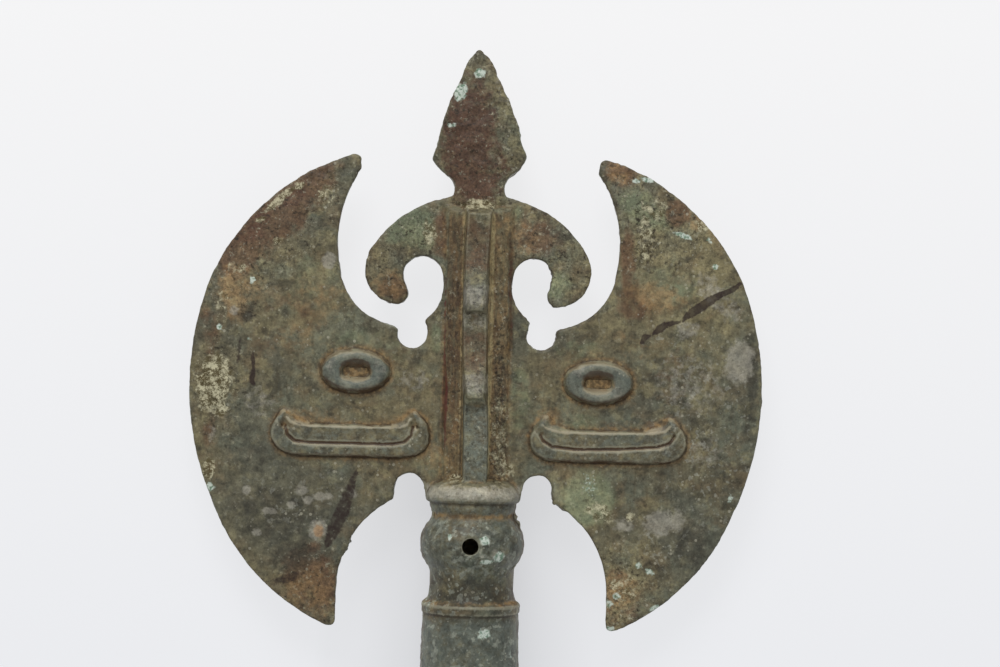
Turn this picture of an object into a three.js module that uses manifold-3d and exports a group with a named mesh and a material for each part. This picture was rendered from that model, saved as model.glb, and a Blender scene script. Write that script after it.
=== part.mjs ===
// Double-bladed ceremonial axe head with a spear tip, cast in bronze as one piece.
//
// Millimetres, +Z up. The head lies on its back: +Y runs along the shaft's axis to the spear tip,
// +X runs across the two blades, and +Z is the normal of the front face, the one with the eyes.
// Every shape is drawn about the point where the shaft's axis crosses the blades' widest level,
// half-way through their thickness. The finished head is then lifted onto its back.

import * as THREE from 'three';
import { mergeVertices } from 'three/addons/utils/BufferGeometryUtils.js';
import Module from 'manifold-3d';

const wasm = await Module();
wasm.setup();

// ---------------------------------------------------------------- driving dimensions

// Levels along the axis, up to the spear tip (+) and down to the socket's mouth (-).
const TIP_Y = 102.4;
const SPEAR_ROOT_Y = 54;
const RIB_TOP_Y = 51;
const COLLAR_Y = -33.5;
const BEAD_Y = -53;
const SOCKET_END_Y = -46;
const MOUTH_Y = -137;

// Heights above the mid-plane of the blades.
const REST_DEPTH = 15.8;
const SPEAR_HALF_THICKNESS = 3.2;
const MIDRIB_HEIGHT = 5.2;
const FIN_HEIGHT = 10.8;
const BARB_HEIGHT = 16.2;
const EYE_HEIGHT = 5;
const MOUTH_BAR_HEIGHT = 4.3;
const BACK_RELIEF_HEIGHT = 4.1;

// Blades: three arcs make the cutting edge, two the upper hollow and one the lower hollow.
const EDGE_ARCS = {
  lower: { x: 18.9, y: -17.6, r: 67.6 },
  middle: { x: -2.6, y: -3.8, r: 92.9 },
  upper: { x: 19.9, y: 2.0, r: 69.9 },
};
const BLADE_CENTRE = { x: 7.4, y: -5.7 };

// Half-thickness of a blade against the distance from its centre.
const BLADE_TAPER = [[0, 2.6], [30, 2.5], [50, 2.3], [66, 1.9], [76, 1.4], [82, 0.85], [86.5, 0.45]];
const BLADE_TAPER_END = 95;

// The spear tip leans a little to one side, as it left the mould.
const SPEAR_LEAN_DEGREES = 1.2;

// Midrib, the front fin on it and the plain rib behind it.
const MIDRIB_HALF_WIDTH = 10.4;
const MIDRIB_SHOULDER = { x: 9.4, z: 3.7 };
const FIN_ROOT_HALF_WIDTH = 4.25;
const FIN_EDGE_HALF_WIDTH = 3.5;
const BARB_EDGE_HALF_WIDTH = 2.25;

// Shaft socket.
const BEAD_RADIUS = 16.4;
const WAIST_RADIUS = 13.3;
const BAND_RADIUS = 15.5;
const MOUTH_RADIUS = 16.4;
const BORE_MOUTH_RADIUS = 13.4;
const BORE_END_RADIUS = 10.4;
const PEG_HOLE_RADIUS = 2.6;
const PEG_HOLE_X = -0.4;

// Raised faces, which the founder did not place quite alike on the two blades. Each horn of a
// mouth has its rise above the bar's foot and how far its point hooks inwards.
const EYE_LENGTH = 22;
const EYE_WIDTH = 13.6;
const EYE_SLOT = { length: 9, width: 3.4, floor: 2.9 };
const MOUTH_LENGTH = 49.6;
const MOUTH_BAR_WIDTH = 3.9;
const MOUTH_GROOVE = 0.6;
const MOUTH_LIP = 9.5;
const FACES = [
  {
    eye: [-37.8, 0.6],
    mouth: [-38.9, -26.1],
    horns: { left: { rise: 13.6, hook: 3.9 }, right: { rise: 14, hook: 5.3 } },
  },
  {
    eye: [38.6, -1.5],
    mouth: [42, -26.3],
    horns: { left: { rise: 13.7, hook: 5.9 }, right: { rise: 13.7, hook: 5.9 } },
  },
];

// How far a facet may stand off its true curve.
const FACET_SAG = 0.045;
const RING_SEGMENTS = 40;

// ---------------------------------------------------------------- drawing helpers

const degrees = THREE.MathUtils.degToRad;
const point = (x, y) => new THREE.Vector2(x, y);

/** Points along an arc about a centre, from one angle to another in degrees, both ends kept. */
function arc({ x, y, r }, from, to) {
  const step = 2 * Math.sqrt(2 * FACET_SAG / r);
  const count = Math.max(2, Math.ceil(Math.abs(degrees(to - from)) / step));
  return Array.from({ length: count + 1 }, (_, i) => {
    const angle = degrees(from + (to - from) * i / count);
    return point(x + r * Math.cos(angle), y + r * Math.sin(angle));
  });
}

/** The same points on the other side of the axis, in the opposite order. */
function mirrored(points) {
  return points.map((p) => point(-p.x, p.y)).reverse();
}

/** A closed mesh as a solid that can be joined and cut, without the slivers at a lathe's axis. */
function solid(geometry) {
  const bare = geometry.clone();
  bare.deleteAttribute('normal');
  bare.deleteAttribute('uv');
  const merged = mergeVertices(bare, 1e-4);
  const triangles = [];
  for (let i = 0; i < merged.index.count; i += 3) {
    const [a, b, c] = merged.index.array.subarray(i, i + 3);
    if (a !== b && b !== c && c !== a) triangles.push(a, b, c);
  }
  return new wasm.Manifold(new wasm.Mesh({
    numProp: 3,
    vertProperties: new Float32Array(merged.attributes.position.array),
    triVerts: new Uint32Array(triangles),
  }));
}

/** A flat outline given thickness from one height to another. */
function plate(points, bottom, top) {
  const geometry = new THREE.ExtrudeGeometry(new THREE.Shape(points), {
    depth: top - bottom,
    bevelEnabled: false,
    steps: 1,
  });
  return solid(geometry.translate(0, 0, bottom));
}

/** A section in x and z carried along the axis from one level to another. */
function bar(section, fromY, toY) {
  const geometry = new THREE.ExtrudeGeometry(new THREE.Shape(section), {
    depth: toY - fromY,
    bevelEnabled: false,
    steps: 1,
  });
  geometry.rotateX(Math.PI / 2);
  return solid(geometry.translate(0, toY, 0));
}

/** A side profile in y and z carried across the axis by the same width each way. */
function slab(profile, halfWidth) {
  const geometry = new THREE.ExtrudeGeometry(new THREE.Shape(profile), {
    depth: 2 * halfWidth,
    bevelEnabled: false,
    steps: 1,
  });
  geometry.rotateY(Math.PI / 2);
  geometry.rotateX(Math.PI / 2);
  return solid(geometry.translate(-halfWidth, 0, 0));
}

/** A profile of radius and level turned about the shaft's axis. */
function turned(profile, segments = RING_SEGMENTS) {
  return solid(new THREE.LatheGeometry(profile, segments));
}

/** A profile of radius and height turned about an upright axis. */
function turnedUpright(profile, segments, stretch = 1) {
  const geometry = new THREE.LatheGeometry(profile, segments);
  return solid(geometry.rotateX(Math.PI / 2).scale(stretch, 1, 1));
}

/** The solid's triangles as a three.js geometry with flat facets. */
function geometryOf(body) {
  const mesh = body.getMesh();
  const geometry = new THREE.BufferGeometry();
  geometry.setAttribute('position', new THREE.BufferAttribute(mesh.vertProperties, 3));
  geometry.setIndex(new THREE.BufferAttribute(mesh.triVerts, 1));
  return geometry;
}

// ---------------------------------------------------------------- blades and volutes

/** Half of the flat outline, from the collar round the blade and the volute to the spear's root. */
function halfOutline() {
  return [
    point(0, COLLAR_Y - 6.4),
    point(14.9, COLLAR_Y - 6.4),
    ...arc({ x: 20.2, y: -35.8, r: 4.75 }, 180, 0),
    point(25.2, -39.6),
    ...arc({ x: 10.4, y: -68, r: 32.2 }, 60, 0),
    ...arc({ x: 44.2, y: -78.3, r: 1.5 }, 180, 275),
    ...arc(EDGE_ARCS.lower, -66.5, -20),
    ...arc(EDGE_ARCS.middle, -21.5, 22),
    ...arc(EDGE_ARCS.upper, 27, 70.5),
    ...arc({ x: 39.5, y: 66.9, r: 1.9 }, 80, 195),
    ...arc({ x: 3.5, y: 41.6, r: 41 }, 34, -13),
    ...arc({ x: 23.5, y: 35.3, r: 20.3 }, -15, -72),
    point(26.2, 15),
    ...arc({ x: 20.3, y: 13, r: 4.8 }, 12, -195),
    point(16.3, 16.9),
    ...arc({ x: 24.1, y: 28.3, r: 13.4 }, 229, 162),
    ...arc({ x: 17.5, y: 30.8, r: 6.4 }, 158, 14),
    point(23.4, 29.7),
    ...arc({ x: 25.6, y: 25.5, r: 3.6 }, 150, 262),
    ...arc({ x: 24.7, y: 32.9, r: 10.9 }, -84, 26),
    ...arc({ x: 4, y: 21.5, r: 34.7 }, 30, 77),
    point(8.2, SPEAR_ROOT_Y + 2.4),
    point(0, SPEAR_ROOT_Y + 2.4),
  ];
}

/** A lens that is thickest at the blade's centre and thins to the cutting edge. */
function bladeLens(side) {
  const [, edge] = BLADE_TAPER[BLADE_TAPER.length - 1];
  const upper = [...BLADE_TAPER, [BLADE_TAPER_END, edge]].map(([r, z]) => point(r, z));
  const lower = upper.map((p) => point(p.x, -p.y));
  const lens = turnedUpright([...lower, ...upper.reverse()], 72);
  return lens.translate([side * BLADE_CENTRE.x, BLADE_CENTRE.y, 0]);
}

/** One blade with the volute on its side of the axis. */
function bladeAndVolute(side) {
  const outline = side > 0 ? halfOutline() : mirrored(halfOutline());
  return plate(outline, -REST_DEPTH, REST_DEPTH).intersect(bladeLens(side));
}

// ---------------------------------------------------------------- spear tip

/** A barbed spearhead on a pinched neck, with bulging faces that thin to the tip and the sides. */
function spear() {
  const sideArc = { x: -68, y: 54.2, r: 83.6 };
  const half = [
    point(7.6, SPEAR_ROOT_Y),
    ...arc({ x: 12.6, y: 58.9, r: 4.8 }, 205, 115),
    point(12.6, 64.9),
    ...arc({ x: 12.9, y: 68.6, r: 2 }, -50, 20),
    ...arc(sideArc, 12, 28.9),
    point(4.9, 96.6),
    point(3.1, 99.9),
    ...arc({ x: 0, y: TIP_Y - 1.4, r: 1.4 }, 20, 90),
  ];
  const outline = [...half, ...mirrored(half).slice(1)];
  const halfWidth = 16;
  const edge = 0.9;
  const bulge = Array.from({ length: 17 }, (_, i) => {
    const across = 1 - i / 8;
    return point(halfWidth * across, edge + (SPEAR_HALF_THICKNESS - edge) * (1 - across * across));
  });
  const section = [...bulge, ...bulge.map((p) => point(p.x, -p.y)).reverse()];
  const taper = [
    point(SPEAR_ROOT_Y - 1, SPEAR_HALF_THICKNESS),
    point(75, SPEAR_HALF_THICKNESS),
    point(TIP_Y + 1, 1.1),
    point(TIP_Y + 1, -1.1),
    point(75, -SPEAR_HALF_THICKNESS),
    point(SPEAR_ROOT_Y - 1, -SPEAR_HALF_THICKNESS),
  ];
  return plate(outline, -REST_DEPTH, REST_DEPTH)
    .intersect(bar(section, SPEAR_ROOT_Y - 1, TIP_Y + 1))
    .intersect(slab(taper, halfWidth))
    .translate([0, -SPEAR_ROOT_Y, 0])
    .rotate([0, 0, SPEAR_LEAN_DEGREES])
    .translate([0, SPEAR_ROOT_Y, 0]);
}

// ---------------------------------------------------------------- midrib, fin and back rib

/** The thick spine between the blades, sloped off below the spear. */
function midrib() {
  const half = [
    point(MIDRIB_HALF_WIDTH, 0),
    point(MIDRIB_HALF_WIDTH, 2.6),
    point(MIDRIB_SHOULDER.x, MIDRIB_SHOULDER.z),
    point(FIN_ROOT_HALF_WIDTH, MIDRIB_HEIGHT),
  ];
  const upper = [...half, ...mirrored(half)];
  const lower = upper.slice(1, -1).map((p) => point(p.x, -p.y)).reverse();
  const top = RIB_TOP_Y + 2.5;
  const ends = [
    point(COLLAR_Y - 4, -MIDRIB_HEIGHT),
    point(RIB_TOP_Y, -MIDRIB_HEIGHT),
    point(top, -2),
    point(top, 2),
    point(RIB_TOP_Y, MIDRIB_HEIGHT),
    point(COLLAR_Y - 4, MIDRIB_HEIGHT),
  ];
  return bar([...upper, ...lower], COLLAR_Y - 4, top).intersect(slab(ends, MIDRIB_HALF_WIDTH + 1));
}

/** The scalloped edge of the front fin, whose two slopes rise to stepped barbs. */
function finProfile() {
  const firstScallop = new THREE.CubicBezierCurve(
    point(RIB_TOP_Y - 0.4, FIN_HEIGHT + 0.3), point(42, FIN_HEIGHT - 0.9),
    point(30, FIN_HEIGHT), point(20.8, BARB_HEIGHT));
  const secondScallop = new THREE.CubicBezierCurve(
    point(13.6, FIN_HEIGHT), point(5, FIN_HEIGHT - 0.4),
    point(0, FIN_HEIGHT + 1), point(-6.4, BARB_HEIGHT));
  return [
    point(RIB_TOP_Y + 2.6, 0),
    point(RIB_TOP_Y + 2.6, 2.6),
    ...firstScallop.getPoints(8),
    point(20.2, BARB_HEIGHT - 0.3),
    point(19.6, FIN_HEIGHT + 1.5),
    point(18, FIN_HEIGHT + 0.2),
    ...secondScallop.getPoints(6),
    point(-6.9, BARB_HEIGHT - 0.3),
    point(-7.2, FIN_HEIGHT + 2.6),
    point(-8.4, FIN_HEIGHT + 2.3),
    point(-9, FIN_HEIGHT + 0.7),
    point(-14, FIN_HEIGHT - 0.4),
    point(COLLAR_Y - 4, FIN_HEIGHT - 0.8),
    point(COLLAR_Y - 4, 0),
  ];
}

/** The front fin: its profile, narrowed from the root to the edge and on to the barbs. */
function fin() {
  const half = [
    point(FIN_ROOT_HALF_WIDTH, 0),
    point(FIN_ROOT_HALF_WIDTH, MIDRIB_HEIGHT - 0.4),
    point(FIN_EDGE_HALF_WIDTH, FIN_HEIGHT),
    point(BARB_EDGE_HALF_WIDTH, BARB_HEIGHT + 0.1),
  ];
  const section = [...half, ...mirrored(half)];
  return bar(section, COLLAR_Y - 4, RIB_TOP_Y + 3)
    .intersect(slab(finProfile(), FIN_ROOT_HALF_WIDTH + 1));
}

/** The plain rib behind, whose straight edge carries the head when it lies down. */
function backRib() {
  const profile = [
    point(COLLAR_Y - 4, 0),
    point(COLLAR_Y - 4, -REST_DEPTH),
    point(RIB_TOP_Y - 1.5, -REST_DEPTH),
    point(RIB_TOP_Y + 2.6, -2.6),
    point(RIB_TOP_Y + 2.6, 0),
  ];
  const half = [
    point(FIN_EDGE_HALF_WIDTH, -REST_DEPTH),
    point(FIN_ROOT_HALF_WIDTH, -MIDRIB_HEIGHT),
    point(FIN_ROOT_HALF_WIDTH, 0),
  ];
  const section = [...half, ...mirrored(half)];
  return bar(section, COLLAR_Y - 4, RIB_TOP_Y + 3)
    .intersect(slab(profile, FIN_ROOT_HALF_WIDTH + 1));
}

// ---------------------------------------------------------------- collar and shaft socket

/** The outside of the collar roll, groove, bead, waist, band and tube, down to the mouth. */
function socketOutside() {
  const roll = { x: 10.6, y: COLLAR_Y - 4.6, r: 4.3 };
  const bead = { x: 5.5, y: BEAD_Y, r: BEAD_RADIUS - 5.5 };
  return [
    point(0, COLLAR_Y + 1.2),
    point(8.6, COLLAR_Y + 1.2),
    ...arc(roll, 72, -10),
    point(14.3, COLLAR_Y - 5.9),
    point(12.9, COLLAR_Y - 9.8),
    point(12.9, COLLAR_Y - 10.9),
    ...arc(bead, 45, -43),
    point(WAIST_RADIUS, BEAD_Y - 8.8),
    point(WAIST_RADIUS - 0.2, BEAD_Y - 12),
    point(WAIST_RADIUS, BEAD_Y - 15.8),
    point(WAIST_RADIUS + 0.8, BEAD_Y - 17.8),
    point(BAND_RADIUS - 0.2, BEAD_Y - 18.6),
    point(BAND_RADIUS, BEAD_Y - 21.4),
    point(BAND_RADIUS - 0.3, BEAD_Y - 21.9),
    point(MOUTH_RADIUS, MOUTH_Y),
    point(0, MOUTH_Y),
  ].reverse();
}

/** The tapered hollow that takes the end of the shaft. */
function bore() {
  return turned([
    point(0, MOUTH_Y - 1),
    point(BORE_MOUTH_RADIUS, MOUTH_Y - 1),
    point(BORE_MOUTH_RADIUS, MOUTH_Y),
    point(BORE_END_RADIUS, SOCKET_END_Y - 1.5),
    point(BORE_END_RADIUS - 1.5, SOCKET_END_Y),
    point(0, SOCKET_END_Y),
  ]);
}

/** A hole for a peg, through the front wall of the bead only. */
function pegHole() {
  const reach = BEAD_RADIUS + 1;
  const pin = new THREE.CylinderGeometry(PEG_HOLE_RADIUS, PEG_HOLE_RADIUS, reach, 20);
  return solid(pin.rotateX(Math.PI / 2).translate(PEG_HOLE_X, BEAD_Y, reach / 2));
}

// ---------------------------------------------------------------- raised face on each blade

/** An oval eye: a broad flat rim round a dished centre with a slot in it. */
function eye([x, y]) {
  const rim = EYE_WIDTH / 2;
  const dome = [
    point(0, 0),
    point(rim, 0),
    point(rim, 2.8),
    point(rim - 0.4, EYE_HEIGHT - 0.6),
    point(rim - 1, EYE_HEIGHT - 0.15),
    point(rim - 2.8, EYE_HEIGHT),
    point(rim - 3.7, EYE_HEIGHT - 0.25),
    point(rim - 4.6, EYE_HEIGHT - 0.8),
    point(0, EYE_HEIGHT - 0.95),
  ];
  const boss = turnedUpright(dome, 32, EYE_LENGTH / EYE_WIDTH);
  const slot = new THREE.BoxGeometry(EYE_SLOT.length, EYE_SLOT.width, 4);
  const cut = solid(slot.translate(0, -0.3, EYE_SLOT.floor + 2));
  return boss.subtract(cut).translate([x, y, 0]);
}

/** The plain oval boss behind an eye. */
function backEye([x, y]) {
  const rim = EYE_WIDTH / 2;
  const dome = [
    point(0, -BACK_RELIEF_HEIGHT),
    point(rim - 2.5, -BACK_RELIEF_HEIGHT),
    point(rim - 0.8, 0.5 - BACK_RELIEF_HEIGHT),
    point(rim, -2.4),
    point(rim, 0),
    point(0, 0),
  ];
  return turnedUpright(dome, 24, EYE_LENGTH / EYE_WIDTH).translate([x, y, 0]);
}

/** One horn of the mouth's lower bar, from the middle of the bar to the horn's point. */
function hornCurve({ rise, hook }) {
  const half = MOUTH_LENGTH / 2;
  const low = MOUTH_BAR_WIDTH / 2;
  return new THREE.CubicBezierCurve(
    point(half - 9, low), point(half - 2.2, low), point(half + 1.6, rise * 0.5),
    point(half - hook, rise));
}

/** Points beside a curve, by an offset that may change from its start (0) to its end (1). */
function beside(curve, offset, count = 9) {
  return Array.from({ length: count + 1 }, (_, i) => {
    const t = i / count;
    const tangent = curve.getTangent(t);
    const spot = curve.getPoint(t);
    const distance = offset(t);
    return point(spot.x + tangent.y * distance, spot.y - tangent.x * distance);
  });
}

/** The mouth: a lower bar whose ends curl up into horns, cradling a straight upper bar. */
function mouth([x, y], horns) {
  const width = (t) => MOUTH_BAR_WIDTH / 2 * (1 - 0.75 * t ** 3);
  const inset = (t) => -MOUTH_BAR_WIDTH / 2 * (1 - 0.35 * t ** 2) - MOUTH_GROOVE;
  const right = hornCurve(horns.right);
  const left = hornCurve(horns.left);
  const crescent = [
    ...beside(right, width),
    ...beside(right, (t) => -width(t)).reverse(),
    ...mirrored(beside(left, (t) => -width(t)).reverse()),
    ...mirrored(beside(left, width)),
  ];
  const corner = MOUTH_LENGTH / 2 - 4.6;
  const cradle = (curve) => beside(curve, inset).filter((p) => p.y < MOUTH_LIP - 0.5);
  const upperBar = [
    ...cradle(right),
    point(corner, MOUTH_LIP),
    point(-corner, MOUTH_LIP),
    ...mirrored(cradle(left)),
  ];
  return plate(crescent, 0, MOUTH_BAR_HEIGHT)
    .add(plate(upperBar, 0, MOUTH_BAR_HEIGHT - 0.3))
    .translate([x, y, 0]);
}

/** The plain round-ended bar behind a mouth. */
function backMouth([x, y]) {
  const end = MOUTH_BAR_WIDTH / 2 + 0.6;
  const reach = MOUTH_LENGTH / 2 - end;
  const right = arc({ x: reach, y: 0, r: end }, -90, 90);
  return plate([...right, ...mirrored(right)], -BACK_RELIEF_HEIGHT, 0)
    .translate([x, y + MOUTH_LIP / 2, 0]);
}

// ---------------------------------------------------------------- the whole casting

/** Everything joined, then hollowed, pierced and flattened where it lies. */
function casting() {
  let body = bladeAndVolute(1)
    .add(bladeAndVolute(-1))
    .add(spear())
    .add(midrib())
    .add(turned(socketOutside()))
    .add(fin())
    .add(backRib());
  for (const face of FACES) {
    body = body.add(eye(face.eye)).add(mouth(face.mouth, face.horns));
    body = body.add(backEye(face.eye)).add(backMouth(face.mouth));
  }
  const below = new THREE.BoxGeometry(60, 260, 10);
  return body
    .subtract(bore())
    .subtract(pegHole())
    .subtract(solid(below.translate(0, -20, -REST_DEPTH - 5)));
}

const bronze = new THREE.MeshStandardMaterial({ color: 0x68614f, roughness: 0.75, metalness: 0.35 });

const axeHead = new THREE.Mesh(geometryOf(casting()), bronze);
axeHead.name = 'axe_head';
axeHead.position.set(0, -(TIP_Y + MOUTH_Y) / 2, REST_DEPTH);

const part = new THREE.Group();
part.add(axeHead);

export default part;
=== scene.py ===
import math

import bpy
import numpy as np
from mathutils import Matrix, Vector


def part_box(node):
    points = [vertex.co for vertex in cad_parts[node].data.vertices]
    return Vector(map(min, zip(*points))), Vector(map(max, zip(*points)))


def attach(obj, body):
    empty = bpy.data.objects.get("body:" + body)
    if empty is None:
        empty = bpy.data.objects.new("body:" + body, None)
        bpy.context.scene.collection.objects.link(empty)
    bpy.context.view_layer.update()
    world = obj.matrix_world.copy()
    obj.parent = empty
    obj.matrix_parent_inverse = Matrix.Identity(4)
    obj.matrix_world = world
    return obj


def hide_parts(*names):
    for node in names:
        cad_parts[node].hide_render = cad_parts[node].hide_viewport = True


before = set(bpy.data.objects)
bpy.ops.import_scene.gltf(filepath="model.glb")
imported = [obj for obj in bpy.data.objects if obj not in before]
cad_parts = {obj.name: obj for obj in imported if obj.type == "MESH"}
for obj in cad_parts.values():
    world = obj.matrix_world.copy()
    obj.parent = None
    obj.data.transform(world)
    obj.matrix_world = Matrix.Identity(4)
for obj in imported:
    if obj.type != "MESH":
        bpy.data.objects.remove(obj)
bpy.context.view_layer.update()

MM = 0.001

# ------------------------------------------------------------------ driving sizes

TOP_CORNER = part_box("axe_head")[1]  # the corner of the solid's box past the spear tip
TIP_ABOVE = 102.4 * MM          # spear tip above the level where the blades are widest
REST_DEPTH = 15.8 * MM          # blades' mid-plane above the table
LEVEL = TOP_CORNER.y - TIP_ABOVE  # that widest level, along the axis
ORIGIN = np.array([0.0, LEVEL, REST_DEPTH])

VOXEL = 0.4 * MM
TRIANGLE_TARGET = 192_000
PLAIN_SHARE = 1.0               # how far the flat back and the bore are thinned
TUBE_SHARE = 0.6                # the tube's outside
FRONT_SHARE = 0.4               # and the front and the tube's rim
SEED = 7

# The rest of the sizes are millimetres about ORIGIN: x across the blades, y to the spear tip
# and z out of the front face.

# Levels along the axis, from the foot of the spear down to the tube's mouth.
SPEAR_FOOT = 55
RIB_TOP = 51.0
COLLAR = -33.5
ROLL = COLLAR - 3.0
UNDER_ROLL = COLLAR - 6.7
NECK = COLLAR - 10.4
BEAD = -53.0
WAIST = -67
ABOVE_BAND = COLLAR - 37.6
BAND = COLLAR - 38.8
BAND_GROOVE = COLLAR - 41.4
BORE_TOP = -45
PLAIN_TUBE = -85
RIM = -134

# Reaches from the axis, and from the mid-plane.
FIN_SIDE = 5.2
RELIEF_SIDE = 12                # eyes and mouths are further out than this
RELIEF_END = 34                 # and nearer the widest level than this
BORE_SIDE = 13.6
SOCKET_SIDE = 18
SOCKET_SKIN = 12                # the socket's outside is further out than this all round
THIN = 4.5                      # the blades and volutes are nearer the mid-plane than this

# How far the fin wanders from side to side, and the half width of the collar's lower corners,
# each at some levels along the axis.
FIN_WANDER = ((-34, -20, 15, 35, 51), (0.5, 0.5, -0.6, -0.5, 0.1))
CORNERS = ((-44, -42.8, -40.4, -38.6, -36), (12.9, 13.1, 14.2, 14.9, 15.2))

PEG = (-0.4, BEAD)
PEG_RADIUS = 2.5

# The camera, in millimetres from ORIGIN and in degrees.
CAMERA_PLACE = (7.3, 13.4, 877)
CAMERA_TURN = 1.3
LENS = 100.1

EYES = ((-37.8, 0.6), (38.6, -1.5))
EYE_REACH = (11, 6.8)
MOUTHS = ((-38.9, -26.1), (42.0, -26.3))

# Each mouth's groove and raised lip, as stops of x and y from the middle of the mouth's foot.
GROOVES = (
    ((-20.6, 9.0), (-19.9, 6.4), (-17.6, 4.4), (-13, 3.9), (13, 3.9), (17, 4.7), (18.9, 6.7),
     (19.6, 9.6)),
    ((-21.3, 8.0), (-20.3, 6.2), (-17.6, 4.5), (-9.7, 3.7), (4, 4.1), (15.5, 5.0), (19.2, 6.2),
     (20.9, 8.6)),
)
LIPS = (
    ((-20.0, 11.6), (-18.8, 10.2), (-16, 9.3), (0, 9.1), (15.5, 9.2), (17.6, 10.2), (18.6, 11.8)),
    ((-20.6, 11.2), (-18.8, 9.9), (-15, 9.1), (0, 8.9), (14, 9.3), (18, 10.0), (19.6, 11.6)),
)

# Dark strokes on the blades and creases beside the midrib, as stops of x, y and width.
RIGHT_STREAK = (
    (82.8, 30.9, 0.9), (80.5, 28.9, 1.7), (76.4, 27.1, 1.9), (73.8, 25.5, 2.8), (70.7, 23.3, 2.9),
    (67.6, 21.3, 2.8), (65.8, 19.9, 1.6), (64.4, 18.3, 0.5), (62.1, 17.9, 1.3), (59.8, 17.5, 1.9),
    (57.7, 16.2, 2.6), (56.2, 14.8, 1.4), (54.8, 14.0, 0.4), (53.0, 13.2, 2.2), (52.0, 11.5, 1.4),
)
LOW_STREAK = ((-36.7, -30.3, 1.2), (-38.9, -37, 3.6), (-41, -43.4, 4.9), (-43.7, -49.7, 4.6),
              (-45.5, -54, 2.6))
SHORT_STREAK = ((-70.3, 5.4, 1.2), (-70.0, 1, 1.4), (-70.4, -3.4, 2.2), (-69.6, -4.4, 1.2))
FAINT_STREAK = ((-74.2, 11, 0.8), (-74.9, 5, 1.6), (-75.2, 2, 1.0))
LEFT_CREASE = ((-10, 30, 0.4), (-10.1, 12, 0.5), (-9.9, 3, 0.9), (-9.6, -4, 1.7),
               (-9.5, -12, 1.4), (-9.4, -18, 0.6), (-9.4, -23, 0.3))
RIGHT_CREASE = ((9.6, 46, 0.5), (10.2, 40, 1.4), (10.6, 26, 1.9), (10.8, 16, 1.2), (11, 9, 0.5))

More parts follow.
